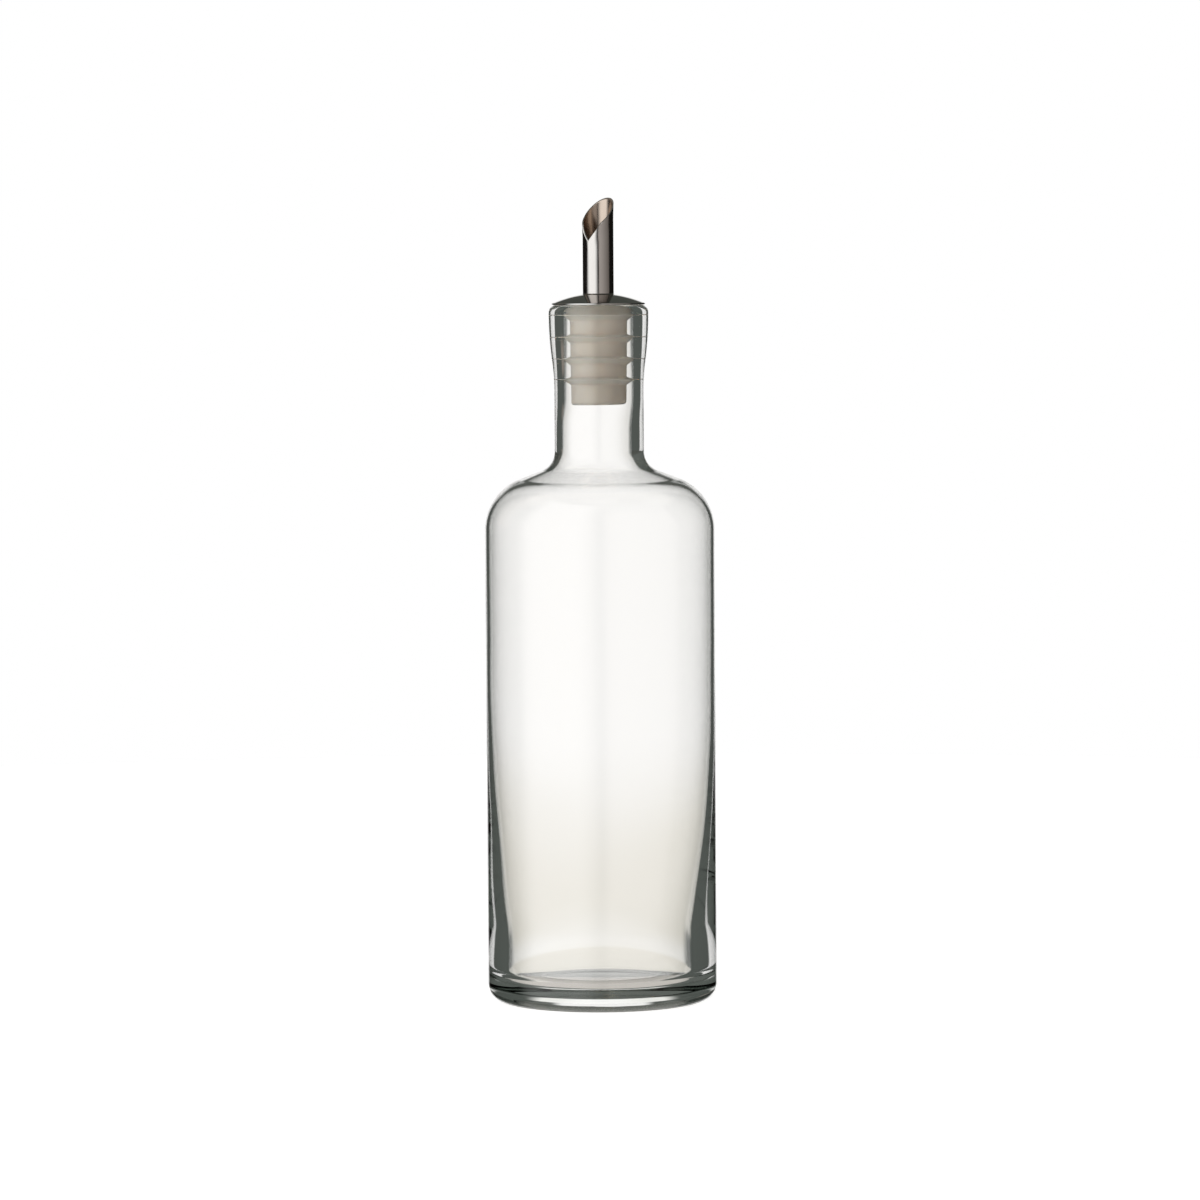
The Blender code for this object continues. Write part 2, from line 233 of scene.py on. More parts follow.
def mixed(tree, factor, first, second, kind="MIX"):
    """Two colours blended in the given way, as far as the factor says."""
    made = add(tree, "ShaderNodeMix", data_type="RGBA", blend_type=kind, clamp_result=False)
    feed(tree, made.inputs["Factor"], factor)
    feed(tree, made.inputs[6], first)
    feed(tree, made.inputs[7], second)
    return made.outputs[2]


def multiplied(tree, first, second):
    """The product of two colours."""
    return mixed(tree, 1.0, first, second, "MULTIPLY")


# ---------------------------------------------------------------- studio light

WHITE = (1.0, 1.0, 1.0, 1.0)
SWEEP = (1.07, 1.06, 1.04, 1.0)
SWEEP_LOW = (0.93, 0.90, 0.83, 1.0)
SWEEP_SIDE = (0.87, 0.865, 0.85, 1.0)     # what the sweep falls to, as a share, well off its middle
DARK_AROUND_STEEL = (0.008, 0.007, 0.006, 1.0)
DARK_AROUND_GLASS = (0.085, 0.095, 0.086, 1.0)
CEILING = (0.12, 0.125, 0.115, 1.0)
DOME_BAND = (0.076, 0.080, 0.070, 1.0)
LEFT_PANEL = ((1.45, 1.44, 1.42, 1.0), (1.40, 1.39, 1.37, 1.0))
RIGHT_PANEL = ((0.54, 0.495, 0.465, 1.0), (0.17, 0.15, 0.135, 1.0))
BACK_STRIP = (1.0, 0.99, 0.98, 1.0)
BACK_GLOW = (0.25, 0.22, 0.19, 1.0)
TRAPPED = (0.12, 0.13, 0.12, 1.0)         # what light brings that has run round inside the glass
NEAR_SIDE = (0.35, 0.35, 0.35, 1.0)       # share of the near panels that the glass mirrors on its inner sides
INSIDE_STEEL = (0.42, 0.35, 0.29, 1.0)    # share left of light that has gone down the spout
FILL = (0.60, 0.58, 0.54, 1.0)            # extra share on what stands inside the glass

# Each pair below is where a change of tone starts and where it is complete. Elevations are in degrees
# above level, and the angles of the back and near sides are in degrees from sideways towards the back.
SWEEP_LOW_ELEVATIONS = (-14.0, -6.5)
SWEEP_SIDE_SPREAD = (4.0, 19.0)           # degrees off the sweep's middle
SWEEP_BACK = (50.0, 62.0)
CEILING_ELEVATIONS = (48.0, 54.0)
FLOOR_ELEVATIONS = (-48.0, -38.0)
NEAR_ANGLES = (20.0, -20.0)
TURNS_INSIDE = (1.0, 3.0)                 # how many times the light has been mirrored
SOFT_HEIGHT = 5.0                         # degrees over which a panel fades at its top and foot
LEAST_FLAT = 0.0001                       # keeps a direction straight up or down from dividing by nothing

MAX_BOUNCES = 64
GLASS_BOUNCES = 48
DIFFUSE_BOUNCES = 6

# A panel is: its middle azimuth, half its width, the width of its soft edge, its lowest and highest
# elevation, and its tone at the low and the high end of its azimuths, which run from the camera's side
# towards +X. Angles are in degrees.
Panel = namedtuple("Panel", "azimuth half soft lowest highest start end")
REFLECTED = (
    Panel(180.0, 85.0, 20.0, 14.0, 52.0, DOME_BAND, DOME_BAND),
    Panel(-47.0, 33.0, 30.0, -60.0, 60.0, *LEFT_PANEL),
    Panel(47.0, 41.0, 8.0, -60.0, 45.0, *RIGHT_PANEL),
    Panel(180.0, 16.0, 6.0, -50.0, 14.0, BACK_STRIP, BACK_STRIP),
    Panel(-118.0, 12.0, 8.0, 5.0, 60.0, BACK_GLOW, BACK_GLOW),
)
FLAGS = (
    Panel(135.0, 18.0, 10.0, -17.0, 60.0, DARK_AROUND_GLASS, DARK_AROUND_GLASS),
    Panel(-135.0, 18.0, 10.0, -17.0, 60.0, DARK_AROUND_GLASS, DARK_AROUND_GLASS),
)


def sine(degrees):
    """The sine of an angle in degrees."""
    return math.sin(math.radians(degrees))


def turned_past(tree, value, angles, *out):
    """The value, which is a sine, mapped from the sine of the first angle to the sine of the second."""
    return ramped(tree, value, sine(angles[0]), sine(angles[1]), *out)


def panel_mask(tree, parts, panel):
    """How much of a light panel a direction sees, from 0 to 1, and how far along its azimuths it lies."""
    flat_x, flat_y, height = parts
    towards = math.radians(panel.azimuth)
    ahead = (math.sin(towards), -math.cos(towards))
    aside = (math.cos(towards), math.sin(towards))
    forward = maths(tree, "ADD", maths(tree, "MULTIPLY", flat_x, ahead[0]),
                    maths(tree, "MULTIPLY", flat_y, ahead[1]))
    outer = math.cos(math.radians(panel.half + panel.soft / 2))
    inner = math.cos(math.radians(panel.half - panel.soft / 2))
    sideways = ramped(tree, forward, outer, inner)
    fade = SOFT_HEIGHT / 2
    above = turned_past(tree, height, (panel.lowest - fade, panel.lowest + fade))
    below = turned_past(tree, height, (panel.highest - fade, panel.highest + fade), 1.0, 0.0)
    seen = maths(tree, "MULTIPLY", sideways, maths(tree, "MULTIPLY", above, below))
    off = maths(tree, "ADD", maths(tree, "MULTIPLY", flat_x, aside[0]),
                maths(tree, "MULTIPLY", flat_y, aside[1]))
    along = ramped(tree, off, -sine(panel.half), sine(panel.half), smooth=False)
    return seen, along


def with_panels(tree, parts, ground, panels):
    """The ground colour with the panels laid over it in order."""
    colour = ground
    for panel in panels:
        seen, along = panel_mask(tree, parts, panel)
        colour = mixed(tree, seen, colour, mixed(tree, along, panel.start, panel.end))
    return colour


def direction_parts(tree):
    """A direction's flat x and y, with a length of 1 between them, and the sine of its elevation."""
    split = add(tree, "ShaderNodeSeparateXYZ")
    feed(tree, split.inputs[0], add(tree, "ShaderNodeTexCoord").outputs["Generated"])
    x, y, height = split.outputs
    squares = maths(tree, "ADD", maths(tree, "MULTIPLY", x, x), maths(tree, "MULTIPLY", y, y))
    flat = maths(tree, "MAXIMUM", maths(tree, "SQRT", squares), LEAST_FLAT)
    return maths(tree, "DIVIDE", x, flat), maths(tree, "DIVIDE", y, flat), height


def sweep_colour(tree, parts):
    """What is seen straight through the glass: the sweep, duller low down and to the sides, and the flags."""
    flat_x, flat_y, height = parts
    sweep = mixed(tree, turned_past(tree, height, SWEEP_LOW_ELEVATIONS), SWEEP_LOW, SWEEP)
    spread = turned_past(tree, maths(tree, "ABSOLUTE", flat_x), SWEEP_SIDE_SPREAD)
    at_side = maths(tree, "MULTIPLY", spread, turned_past(tree, flat_y, SWEEP_BACK))
    side_share = mixed(tree, at_side, WHITE, SWEEP_SIDE)
    return with_panels(tree, parts, multiplied(tree, sweep, side_share), FLAGS)


def mirrored_colour(tree, parts, turns, in_glass, scattered):
    """What all other light sees: the panels in the dark, and less of them the more it has been mirrored."""
    height = parts[2]
    around = mixed(tree, in_glass, DARK_AROUND_STEEL, DARK_AROUND_GLASS)
    around = mixed(tree, turned_past(tree, height, CEILING_ELEVATIONS), around, CEILING)
    around = mixed(tree, turned_past(tree, height, FLOOR_ELEVATIONS), SWEEP_LOW, around)
    mirrored = with_panels(tree, parts, around, REFLECTED)

    run_round = ramped(tree, turns, *TURNS_INSIDE, smooth=False)
    unscattered = maths(tree, "SUBTRACT", in_glass, scattered, clamp=True)
    near = maths(tree, "MULTIPLY", unscattered, turned_past(tree, parts[1], NEAR_ANGLES))
    share = mixed(tree, run_round, WHITE, INSIDE_STEEL)
    share = mixed(tree, in_glass, share, WHITE)
    share = mixed(tree, near, share, NEAR_SIDE)
    trapped = maths(tree, "MULTIPLY", unscattered, run_round)
    dulled = mixed(tree, trapped, multiplied(tree, mirrored, share), TRAPPED)
    inside = maths(tree, "MULTIPLY", scattered, in_glass)
    return mixed(tree, inside, dulled, multiplied(tree, dulled, FILL), "ADD")


def make_studio():
    """A white sweep for the eye, and soft panels with dark flags between them for the glass and steel.

    What a glass wall shows straight through it is the sweep. Its edges, which bend light far round, and
    all reflections see the panels.
    """
    world = bpy.data.worlds.new("studio")
    bpy.context.scene.world = world
    world.use_nodes = True
    tree = world.node_tree
    tree.nodes.clear()
    parts = direction_parts(tree)
    path = add(tree, "ShaderNodeLightPath").outputs
    turns = path["Glossy Depth"]
    in_glass = maths(tree, "GREATER_THAN", path["Transmission Depth"], 0.5)
    turned_round = maths(tree, "GREATER_THAN", turns, 0.5)
    scattered = maths(tree, "GREATER_THAN", path["Diffuse Depth"], 0.5)
    unturned = maths(tree, "SUBTRACT", in_glass, turned_round)
    straight_through = maths(tree, "SUBTRACT", unturned, scattered, clamp=True)

    mirrored = mirrored_colour(tree, parts, turns, in_glass, scattered)
    colour = mixed(tree, straight_through, mirrored, sweep_colour(tree, parts))
    colour = mixed(tree, path["Is Camera Ray"], colour, WHITE)
    studio = add(tree, "ShaderNodeBackground")
    feed(tree, studio.inputs["Color"], colour)
    feed(tree, add(tree, "ShaderNodeOutputWorld").inputs["Surface"], studio.outputs[0])


def set_light_paths():
    """Plain colours, and enough bounces for light to cross the bottle's walls many times."""
    scene = bpy.context.scene
    scene.view_settings.view_transform = "Standard"
    scene.cycles.max_bounces = MAX_BOUNCES
    scene.cycles.transmission_bounces = GLASS_BOUNCES
    scene.cycles.glossy_bounces = GLASS_BOUNCES
    scene.cycles.diffuse_bounces = DIFFUSE_BOUNCES


# ---------------------------------------------------------------- mesh helpers

def arc(centre_r, centre_z, radius, start, end, steps):
    """Points (r, z) along an arc, from the start angle to the end angle in degrees."""
    angles = np.radians(np.linspace(start, end, steps + 1))
    return [(centre_r + radius * math.cos(a), centre_z + radius * math.sin(a)) for a in angles]


def ogee(top_r, top_z, bottom_r, bottom_z, turn, steps):
    """Two tangent arcs that join two vertical walls, bulging first and hollow after, from the top down."""
    inset = top_r - bottom_r
    drop = top_z - bottom_z
    angle = 2 * math.degrees(math.atan2(inset, drop))
    radius_sum = drop / math.sin(math.radians(angle))
    upper_radius = radius_sum * turn
    lower_radius = radius_sum - upper_radius
    upper = arc(top_r - upper_radius, top_z, upper_radius, 0, -angle, steps)
    lower = arc(bottom_r + lower_radius, bottom_z, lower_radius, 180 - angle, 180, steps)
    return upper + lower[1:]


def refined(points, longest=math.inf):
    """The points with longer stretches divided evenly, and with repeated points left out."""
    made = [points[0]]
    for point in points[1:]:
        start = made[-1]
        length = math.dist(start, point)
        if length < NOTHING:
            continue
        pieces = max(1, math.ceil(length / longest))
        for piece in range(1, pieces + 1):
            share = piece / pieces
            made.append((start[0] + (point[0] - start[0]) * share, start[1] + (point[1] - start[1]) * share))
    return made


def blend(low, high, value):
    """A smooth step from 0 to 1 as the value goes from low to high."""
    share = min(max((value - low) / (high - low), 0.0), 1.0)
    return share * share * (3 - 2 * share)


def bell(distance, width):
    """A rounded bump of height 1 at distance 0."""
    return math.exp(-(distance / width) ** 2)


def mesh_object(name, vertices, faces):
    """A smooth-shaded object whose faces point out."""
    mesh = bpy.data.meshes.new(name)
    mesh.from_pydata(vertices, [], faces)
    shape = bmesh.new()
    shape.from_mesh(mesh)
    bmesh.ops.recalc_face_normals(shape, faces=shape.faces)
    shape.to_mesh(mesh)
    shape.free()
    mesh.shade_smooth()
    piece = bpy.data.objects.new(name, mesh)
    bpy.context.scene.collection.objects.link(piece)
    return piece


def turned(name, profile, steps, closed=False, shaped=None):
    """A piece turned about Z from its section, which is a ring itself where closed is true.

    shaped(row, r, z, angle), if given, moves each point and gives its (x, y, z).
    """
    vertices = []
    rings = []
    for row, (radius, height) in enumerate(profile):
        ring = []
        count = steps if radius > NOTHING else 1
        for step in range(count):
            angle = 2 * math.pi * step / steps
            ring.append(len(vertices))
            if shaped:
                vertices.append(shaped(row, radius, height, angle))
            else:
                vertices.append((radius * math.cos(angle), radius * math.sin(angle), height))
        rings.append(ring)
    pairs = list(zip(rings, rings[1:]))
    if closed:
        pairs.append((rings[-1], rings[0]))
    faces = []
    for upper, lower in pairs:
        for step in range(steps):
            following = (step + 1) % steps
            if len(upper) == 1:
                faces.append((upper[0], lower[step], lower[following]))
            elif len(lower) == 1:
                faces.append((upper[step], lower[0], upper[following]))
            else:
                faces.append((upper[step], lower[step], lower[following], upper[following]))
    return mesh_object(name, vertices, faces)


def finish_piece(piece, material, body, slot, *nodes):
    """Gives the piece its material and its body, and hides the CAD nodes it stands for. The slot is not used.
    """
    piece.data.materials.append(material)
    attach(piece, body)
    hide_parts(*nodes)


# ---------------------------------------------------------------- bottle

def bottle_inside():
    """The inner side's section, from the middle of the floor up to the inner edge of the lip."""
    wall_bottom_r = BODY_R - WALL_BOTTOM
    wall_top_r = BODY_R - WALL_TOP
    floor_r = wall_bottom_r - FLOOR_CORNER_RADIUS
    floor = [(floor_r * row / FLOOR_ROWS, FLOOR_THICKNESS) for row in range(FLOOR_ROWS)]
    corner = arc(floor_r, FLOOR_THICKNESS + FLOOR_CORNER_RADIUS, FLOOR_CORNER_RADIUS, -90, 0, steps=14)
    taper_top_z = WALL_TAPER_START + WALL_TAPER_LENGTH
    wall = ogee(wall_top_r, taper_top_z, wall_bottom_r, WALL_TAPER_START, WALL_TAPER_TURN, steps=18)
    inner_turn = math.pi / 2 - INNER_SHOULDER_SLOPE
    turn = math.degrees(inner_turn)
    shoulder = arc(wall_top_r - INNER_SHOULDER_RADIUS, BODY_HEIGHT, INNER_SHOULDER_RADIUS, 0, turn, steps=22)
    shoulder_end_r, shoulder_end_z = shoulder[-1]
    fillet_end_r = BORE_R + INNER_NECK_FILLET * (1 - math.cos(inner_turn))
    fillet_end_z = shoulder_end_z + (shoulder_end_r - fillet_end_r) * math.tan(INNER_SHOULDER_SLOPE)
    bore_foot_z = fillet_end_z + INNER_NECK_FILLET * math.sin(inner_turn)
    neck_foot = arc(BORE_R + INNER_NECK_FILLET, bore_foot_z, INNER_NECK_FILLET, 180 + turn, 180, steps=14)
    lip = arc(BORE_R + LIP_INNER_RADIUS, LIP_Z - LIP_INNER_RADIUS, LIP_INNER_RADIUS, 180, 90, steps=8)
    return floor + corner + wall[::-1] + shoulder + neck_foot + lip


def bottle_outside():
    """The outer side's section, from the top of the lip down to the middle of the underside."""
    lip_edge = arc(LIP_R - LIP_EDGE_RADIUS, LIP_Z - LIP_EDGE_RADIUS, LIP_EDGE_RADIUS, 90, 0, steps=14)
    taper_top = LIP_Z - LIP_EDGE_RADIUS
    taper = ogee(LIP_R, taper_top, NECK_R, taper_top - LIP_TAPER, LIP_TAPER_TURN, steps=10)
    slope_turn = math.pi / 2 - SHOULDER_SLOPE
    turn = math.degrees(slope_turn)
    shoulder = arc(BODY_R - SHOULDER_RADIUS, BODY_HEIGHT, SHOULDER_RADIUS, turn, 0, steps=24)
    shoulder_end_r, shoulder_end_z = shoulder[0]
    fillet_end_r = NECK_R + NECK_FILLET * (1 - math.cos(slope_turn))
    fillet_end_z = shoulder_end_z + (shoulder_end_r - fillet_end_r) * math.tan(SHOULDER_SLOPE)
    neck_foot_z = fillet_end_z + NECK_FILLET * math.sin(slope_turn)
    neck_foot = arc(NECK_R + NECK_FILLET, neck_foot_z, NECK_FILLET, 180, 180 + turn, steps=16)
    heel = arc(BODY_R - HEEL_RADIUS, HEEL_RADIUS, HEEL_RADIUS, 0, -90, steps=16)
    ring_inner_r = BODY_R - HEEL_RADIUS - BEARING_RING_WIDTH
    push_up_radius = (ring_inner_r ** 2 + PUSH_UP ** 2) / (2 * PUSH_UP)
    push_up_turn = math.degrees(math.asin(ring_inner_r / push_up_radius))
    underside = arc(0.0, PUSH_UP - push_up_radius, push_up_radius, 90 - push_up_turn, 90, steps=10)
    return lip_edge + taper + neck_foot + shoulder + heel + underside


def inner_lean(height):
    """Sideways shift of the cavity, which blown glass always has a little of."""
    at_base = LEAN_BASE * (1 - blend(*LEAN_BASE_FADE, height))
    in_neck = LEAN_NECK * blend(*LEAN_NECK_START, height) * (1 - blend(*LEAN_NECK_END, height))
    return at_base + in_neck


def waviness(radius, height, angle):
    """Slow swells of a blown surface, from -1 to 1 or so, which die out towards the axis."""
    swell = sum(share * math.sin(lobes * angle + twist * height + start)
                for share, lobes, twist, start in SWELLS)
    return swell * min(radius / BORE_R, 1.0)


def inner_point(radius, height, angle):
    """A point of the cavity's wall, with its lean and waves, and on the floor the parison's step."""
    wave = waviness(radius, height, angle)
    if height < FLOOR_THICKNESS + FLOOR_WAVE_TOP:
        height += FLOOR_RING_DEPTH * (bell(radius - FLOOR_RING_R, FLOOR_RING_WIDTH) + FLOOR_WAVE * wave)
    radius += INNER_WAVE * wave * (1 - blend(*INNER_WAVE_END, height))
    return radius * math.cos(angle) + inner_lean(height), radius * math.sin(angle), height


def outer_point(radius, height, angle):
    """A point of the outside, with its waves, and under the base the mould mark's ring."""
    wave = waviness(radius, height, angle)
    if height <= PUSH_UP:
        height += MARK_DEPTH * bell(radius - MARK_R, MARK_WIDTH)
    if height > HEEL_RADIUS:
        radius += OUTER_WAVE * (wave * blend(*OUTER_WAVE_START, height) - 1)
    return radius * math.cos(angle), radius * math.sin(angle), height


def make_bottle_glass(material):
    """The blown bottle: a turned body whose cavity leans and swells slightly."""
    inside = refined(bottle_inside(), GLASS_STRETCH)
    mark = [(MARK_R + MARK_WIDTH * row / MARK_ROWS_PER_WIDTH, PUSH_UP)
            for row in range(MARK_ROWS, -MARK_ROWS - 1, -1)]
    outside = [point for point in refined(bottle_outside(), GLASS_STRETCH) if point[0] > mark[0][0]]
    profile = refined(inside + outside + mark + [(0.0, PUSH_UP)])

    def shaped(row, radius, height, angle):
        point = inner_point if row < len(inside) else outer_point
        return point(radius, height, angle)

    piece = turned("bottle_glass", profile, GLASS_STEPS, shaped=shaped)
    finish_piece(piece, material, "bottle", "clear_glass", "bottle")


# ---------------------------------------------------------------- stopper

def core_r(height):
    """The stopper core's radius, which narrows downwards."""
    return CORE_TOP_R - CORE_TAPER * (LIP_Z - height) / (LIP_Z - STOPPER_LOW.z)


def eased_root(height, way):
    """A fin's rounded root from the core outwards, above the fin where way is 1 and below it where -1."""
    root_r = core_r(height)
    ease = FIN_ROOT_EASE
    return [
        (root_r, height + way * ease),
        (root_r + KNEE * ease, height + way * KNEE * ease),
        (root_r + ease, height - way * FIN_ROOT_DROP),
    ]


def fin_section(tip_z):
    """One fin's section from its upper root to its lower root, with a rounded tip."""
    half = FIN_TIP_THICKNESS / 2
    tip = arc(BORE_R + FIN_PRESS - half, tip_z, half, 80, -80, steps=8)
    return eased_root(tip_z + FIN_RISE_ABOVE, 1) + tip + eased_root(tip_z - FIN_DROP_BELOW, -1)[::-1]


def make_stopper(material):
    """The soft stopper, one moulding with four fins that press on the glass."""
    top_z = STOPPER_HIGH.z
    bottom_z = STOPPER_LOW.z
    hole_r = TUBE_R + STOPPER_HOLE_GAP
    profile = [(hole_r, top_z)]
    profile += arc(core_r(top_z) - STOPPER_EDGE, top_z - STOPPER_EDGE, STOPPER_EDGE, 90, 0, steps=5)
    first = LIP_Z - FIRST_FIN_DEPTH
    last = bottom_z + LAST_FIN_HEIGHT
    for index in range(FIN_COUNT):
        profile += fin_section(first + (last - first) * index / (FIN_COUNT - 1))
    profile += arc(core_r(bottom_z) - CORE_CORNER_RADIUS, bottom_z + CORE_CORNER_RADIUS,
                   CORE_CORNER_RADIUS, 0, -90, steps=10)
    profile.append((hole_r, bottom_z))
    piece = turned("stopper_moulding", refined(profile, STOPPER_STRETCH), STOPPER_STEPS, closed=True)
    finish_piece(piece, material, "stopper", "frosted_silicone", "stopper")


# ---------------------------------------------------------------- steel

def dome_rise(radius):
    """Height of the dome above its rim."""
    return math.sqrt(DOME_RADIUS ** 2 - radius ** 2) - math.sqrt(DOME_RADIUS ** 2 - DISC_R ** 2)


def make_cap_disc(material):
    """The pressed disc: a shallow dome with a rounded rim, and a small brazed fillet at the tube."""
    hole_r = TUBE_R + DISC_HOLE_GAP
    bottom = DISC_LOW.z
    top = bottom + DISC_THICKNESS
    rim_r = DISC_R - DISC_EDGE
    radii = np.linspace(hole_r + BRAZE_FILLET, rim_r, DISC_ROWS)
    joint_z = top + dome_rise(hole_r)
    knee = KNEE * BRAZE_FILLET
    profile = [(hole_r, joint_z + BRAZE_FILLET), (hole_r + knee, joint_z + knee)]
    profile += [(r, top + dome_rise(r)) for r in radii]
    profile += arc(rim_r, bottom + DISC_THICKNESS / 2 + dome_rise(rim_r), DISC_EDGE, 60, -60, steps=8)
    profile += [(r, bottom + dome_rise(r)) for r in reversed(radii)]
    profile.append((hole_r, bottom + dome_rise(hole_r)))
    piece = turned("cap_dome", refined(profile), DISC_STEPS, closed=True)
    finish_piece(piece, material, "spout", "polished_steel", "cap_disc")


def mouth_z(radius, angle):
    """Height of the mouth's edge at an angle off its heading: a slanted cut that ends in a pointed notch."""
    slope = TUBE_HIGH.z - (TUBE_R + radius * math.cos(angle)) * math.tan(MOUTH_SLOPE)
    depth = MOUTH_DEPTH - 2 * TUBE_R * math.tan(MOUTH_SLOPE)
    turn = abs(math.remainder(angle, 2 * math.pi))
    return slope - depth * max(0.0, 1 - turn / NOTCH_HALF_TURN) ** NOTCH_HOLLOW


def tube_point(radius, angle, share, drop):
    """A point on one wall of the tube, from its foot at share 0 to its mouth, less the drop, at share 1."""
    bottom = TUBE_LOW.z
    top = mouth_z(radius, angle) - drop
    height = bottom + (top - bottom) * share
    opened = radius + MOUTH_FLARE * blend(MOUTH_FLARE_LENGTH, 0.0, top - height)
    heading = angle + MOUTH_HEADING
    return opened * math.cos(heading), opened * math.sin(heading), height


def make_spout_tube(material):
    """The spout: a thin tube with a slanted, slightly opened mouth whose cut edge is eased."""
    outer_r = TUBE_R - TUBE_INSET
    inner_r = outer_r - TUBE_WALL
    shares = [1 - (1 - row / TUBE_ROWS) ** TUBE_CROWDING for row in range(TUBE_ROWS + 1)]
    walls = (
        [(outer_r, share, TUBE_EDGE) for share in shares]
        + [(outer_r - TUBE_EDGE, 1.0, 0.0), (inner_r + TUBE_EDGE, 1.0, 0.0)]
        + [(inner_r, share, TUBE_EDGE) for share in reversed(shares)]
    )
    vertices = []
    for radius, share, drop in walls:
        for step in range(TUBE_STEPS):
            vertices.append(tube_point(radius, 2 * math.pi * step / TUBE_STEPS, share, drop))
    faces = []
    for row in range(len(walls)):
        here = row * TUBE_STEPS
        after = (row + 1) % len(walls) * TUBE_STEPS
        for step in range(TUBE_STEPS):
            following = (step + 1) % TUBE_STEPS
            faces.append((here + step, here + following, after + following, after + step))
    piece = mesh_object("spout_shell", vertices, faces)
    piece.data.set_sharp_from_angle(angle=TUBE_SHARP_ANGLE)
    finish_piece(piece, material, "spout", "satin_steel", "spout_tube")


def make_breather(material):
    """The thin air tube inside the spout, with eased ends."""
    middle = (BREATHER_LOW + BREATHER_HIGH) / 2
    edge = BREATHER_EDGE
    top = BREATHER_HIGH.z
    bottom = BREATHER_LOW.z
    inner_r = BREATHER_R - BREATHER_WALL
    profile = (
        [(inner_r, top - edge)] + arc(inner_r + edge, top - edge, edge, 180, 90, steps=3)
        + arc(BREATHER_R - edge, top - edge, edge, 90, 0, steps=3)
        + arc(BREATHER_R - edge, bottom + edge, edge, 0, -90, steps=3)
        + arc(inner_r + edge, bottom + edge, edge, -90, -180, steps=3)
    )

    def shaped(row, radius, height, angle):
        return middle.x + radius * math.cos(angle), middle.y + radius * math.sin(angle), height

    piece = turned("breather_shell", refined(profile, BREATHER_STRETCH), BREATHER_STEPS,
                   closed=True, shaped=shaped)
    finish_piece(piece, material, "spout", "satin_steel", "breather_tube")


# ---------------------------------------------------------------- materials

NOISE_RANGE = (0.3, 0.7)            # where most of a noise's values lie
GLASS_IOR = 1.5
GLASS_TINT = (0.50, 0.62, 0.54, 1.0)
GLASS_TINT_DENSITY = 2.5
SILICONE_IOR = 1.41
SILICONE_CORE = ((0.94, 0.85, 0.75, 1.0), (0.98, 0.91, 0.84, 1.0))
SILICONE_FINS = (0.98, 0.96, 0.87, 1.0)
FIN_FADE = 0.8 * MM                 # how far out from the core the fins take their own colour
SILICONE_ROUGHNESS = (0.30, 0.42)
SILICONE_SCATTER = 2.0 * MM
POLISHED = ((0.60, 0.60, 0.59, 1.0), (0.66, 0.655, 0.65, 1.0))
SATIN = ((0.58, 0.565, 0.55, 1.0), (0.65, 0.635, 0.62, 1.0))
BORE_EDGE_R = TUBE_R - 0.35 * MM    # the darker, browner bore is inside this radius
BORE_EDGE_FADE = 0.1 * MM
BORE_TONE = (0.86, 0.75, 0.66, 1.0)
BORE_DULL = 0.10                    # how much rougher the bore is


def principled(name):
    """A material, with its tree, its shader and its object coordinates."""
    material = bpy.data.materials.new(name)
    material.use_nodes = True
    tree = material.node_tree
    shader = tree.nodes["Principled BSDF"]
    place = add(tree, "ShaderNodeTexCoord").outputs["Object"]
    return material, tree, shader, place


def noise(tree, place, scale, detail, stretch=(1.0, 1.0, 1.0)):
    """A noise texture's value over the stretched coordinates."""
    mapping = add(tree, "ShaderNodeMapping")
    feed(tree, mapping.inputs["Vector"], place)
    mapping.inputs["Scale"].default_value = stretch
    made = add(tree, "ShaderNodeTexNoise")
    feed(tree, made.inputs["Vector"], mapping.outputs[0])
    made.inputs["Scale"].default_value = scale
    made.inputs["Detail"].default_value = detail
    return made.outputs["Fac"]


def off_axis(tree, place):
    """How far a point lies from the bottle's axis."""
    across = add(tree, "ShaderNodeVectorMath", operation="MULTIPLY")
    feed(tree, across.inputs[0], place)
    across.inputs[1].default_value = (1.0, 1.0, 0.0)
    length = add(tree, "ShaderNodeVectorMath", operation="LENGTH")
    feed(tree, length.inputs[0], across.outputs[0])
    return length.outputs["Value"]


def bump(tree, shader, height, distance, strength):
    """Feeds a bump to the shader's normal."""
    made = add(tree, "ShaderNodeBump")
    made.inputs["Strength"].default_value = strength
    made.inputs["Distance"].default_value = distance
    feed(tree, made.inputs["Height"], height)
    feed(tree, shader.inputs["Normal"], made.outputs[0])


def glass_material():
    """Clear soda-lime glass with a faint green-grey depth and slow ripples."""
    material, tree, shader, place = principled("clear_glass")
    shader.inputs["Base Color"].default_value = WHITE
    shader.inputs["Roughness"].default_value = 0.0
    shader.inputs["IOR"].default_value = GLASS_IOR
    shader.inputs["Transmission Weight"].default_value = 1.0
    ripple = noise(tree, place, scale=45.0, detail=2.0, stretch=(1.0, 1.0, 0.35))
    bump(tree, shader, ripple, distance=0.10 * MM, strength=0.35)
    depth = add(tree, "ShaderNodeVolumeAbsorption")
    depth.inputs["Color"].default_value = GLASS_TINT
    depth.inputs["Density"].default_value = GLASS_TINT_DENSITY
    feed(tree, tree.nodes["Material Output"].inputs["Volume"], depth.outputs[0])
    return material


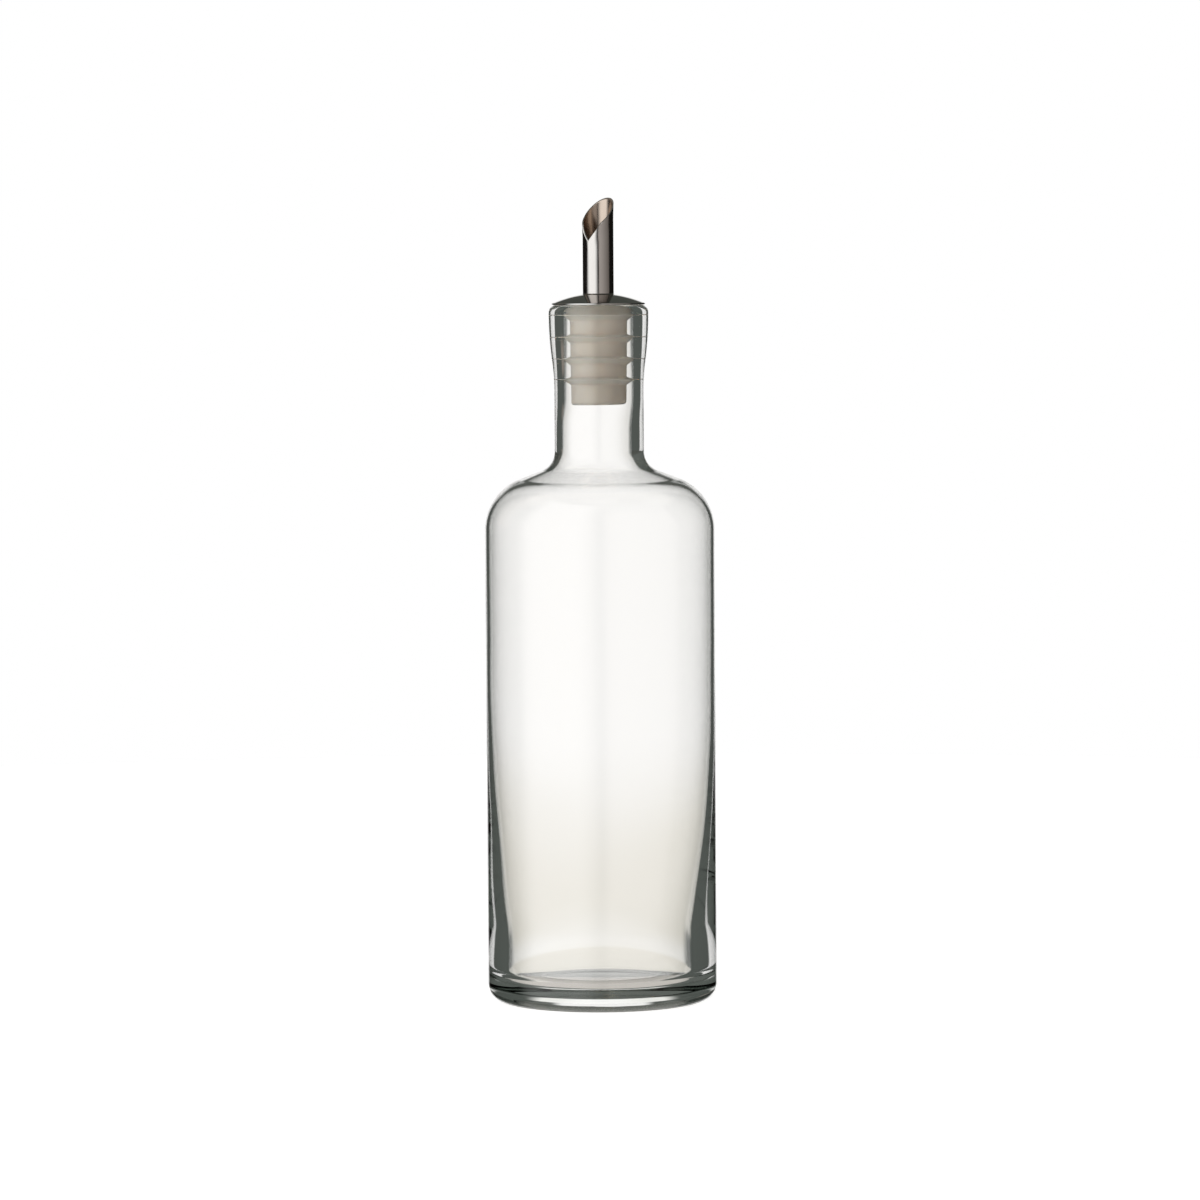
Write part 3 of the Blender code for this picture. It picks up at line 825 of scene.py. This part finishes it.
def silicone_material():
    """Frosted translucent silicone, a little cloudy, that pales where it is thin in the fins."""
    material, tree, shader, place = principled("frosted_silicone")
    cloud = noise(tree, place, scale=180.0, detail=3.0)
    core = mixed(tree, cloud, *SILICONE_CORE)
    in_fins = ramped(tree, off_axis(tree, place), CORE_TOP_R, CORE_TOP_R + FIN_FADE)
    feed(tree, shader.inputs["Base Color"], mixed(tree, in_fins, core, SILICONE_FINS))
    feed(tree, shader.inputs["Roughness"], ramped(tree, cloud, *NOISE_RANGE, *SILICONE_ROUGHNESS))
    shader.inputs["IOR"].default_value = SILICONE_IOR
    shader.inputs["Transmission Weight"].default_value = 0.45
    shader.inputs["Subsurface Weight"].default_value = 0.5
    shader.inputs["Subsurface Radius"].default_value = (1.0, 0.9, 0.8)
    shader.inputs["Subsurface Scale"].default_value = SILICONE_SCATTER
    bump(tree, shader, noise(tree, place, scale=1500.0, detail=2.0), distance=0.03 * MM, strength=0.5)
    return material


def steel_material(name, tones, roughness, grain_scale, grain_stretch):
    """Stainless steel with a fine grain, slight changes of tone and polish, and a darker, browner, duller
    bore.
    """
    material, tree, shader, place = principled(name)
    polished = mixed(tree, noise(tree, place, scale=120.0, detail=3.0), *tones)
    grain = noise(tree, place, scale=grain_scale, detail=2.0, stretch=grain_stretch)
    in_bore = ramped(tree, off_axis(tree, place), BORE_EDGE_R, BORE_EDGE_R + BORE_EDGE_FADE, 1.0, 0.0)
    colour = mixed(tree, in_bore, polished, multiplied(tree, polished, BORE_TONE))
    feed(tree, shader.inputs["Base Color"], colour)
    shader.inputs["Metallic"].default_value = 1.0
    outside = ramped(tree, grain, *NOISE_RANGE, *roughness)
    dulled = maths(tree, "ADD", outside, maths(tree, "MULTIPLY", in_bore, BORE_DULL))
    feed(tree, shader.inputs["Roughness"], dulled)
    bump(tree, shader, grain, distance=0.008 * MM, strength=0.5)
    return material


def flat_material(name, base, glow, strength):
    """A matt material without gloss, which also glows evenly."""
    material = bpy.data.materials.new(name)
    material.use_nodes = True
    shader = material.node_tree.nodes["Principled BSDF"]
    shader.inputs["Base Color"].default_value = base
    shader.inputs["Roughness"].default_value = 1.0
    shader.inputs["Specular IOR Level"].default_value = 0.0
    shader.inputs["Emission Color"].default_value = glow
    shader.inputs["Emission Strength"].default_value = strength
    return material


# ---------------------------------------------------------------- stage

FLOOR_RADII = (0.0, 0.05, 0.15, 0.9)
FLOOR_Z = -0.05 * MM
FLOOR_TONE = (0.85, 0.85, 0.85, 1.0)
FLOOR_GLOW = 0.85
# the bottle's painted shadow: a glowing patch that stands in for the floor in the bottle's shade
PATCH_R = 33.0 * MM
PATCH_Z = -0.03 * MM
PAINTED_SHADOW_TONE = (0.58, 0.55, 0.51, 1.0)
BLACK = (0.0, 0.0, 0.0, 1.0)


def make_floor():
    """A plain pale floor that keeps only a faint contact shadow."""
    floor = turned("floor", [(radius, 0.0) for radius in FLOOR_RADII], STAGE_STEPS)
    floor.location.z = FLOOR_Z
    floor.data.materials.append(flat_material("floor", FLOOR_TONE, WHITE, FLOOR_GLOW))
    floor.visible_glossy = False
    floor.visible_transmission = False
    floor.visible_diffuse = False


def make_painted_floor_shadow():
    """The bottle's painted shadow on the floor: a dim glowing patch right under the bottle, which only shows
    through the glass of its base.
    """
    patch = turned("painted_floor_shadow", [(0.0, 0.0), (PATCH_R, 0.0)], STAGE_STEPS)
    patch.location.z = PATCH_Z
    patch.data.materials.append(flat_material("painted_floor_shadow", BLACK, PAINTED_SHADOW_TONE, 1.0))
    patch.visible_camera = False
    patch.visible_diffuse = False


make_studio()
set_light_paths()
make_bottle_glass(glass_material())
make_stopper(silicone_material())
make_cap_disc(steel_material("polished_steel", POLISHED, roughness=(0.05, 0.10),
                             grain_scale=900.0, grain_stretch=(1.0, 1.0, 1.0)))
satin = steel_material("satin_steel", SATIN, roughness=(0.10, 0.20),
                       grain_scale=2500.0, grain_stretch=(1.0, 1.0, 0.05))
make_spout_tube(satin)
make_breather(satin)
make_floor()
make_painted_floor_shadow()
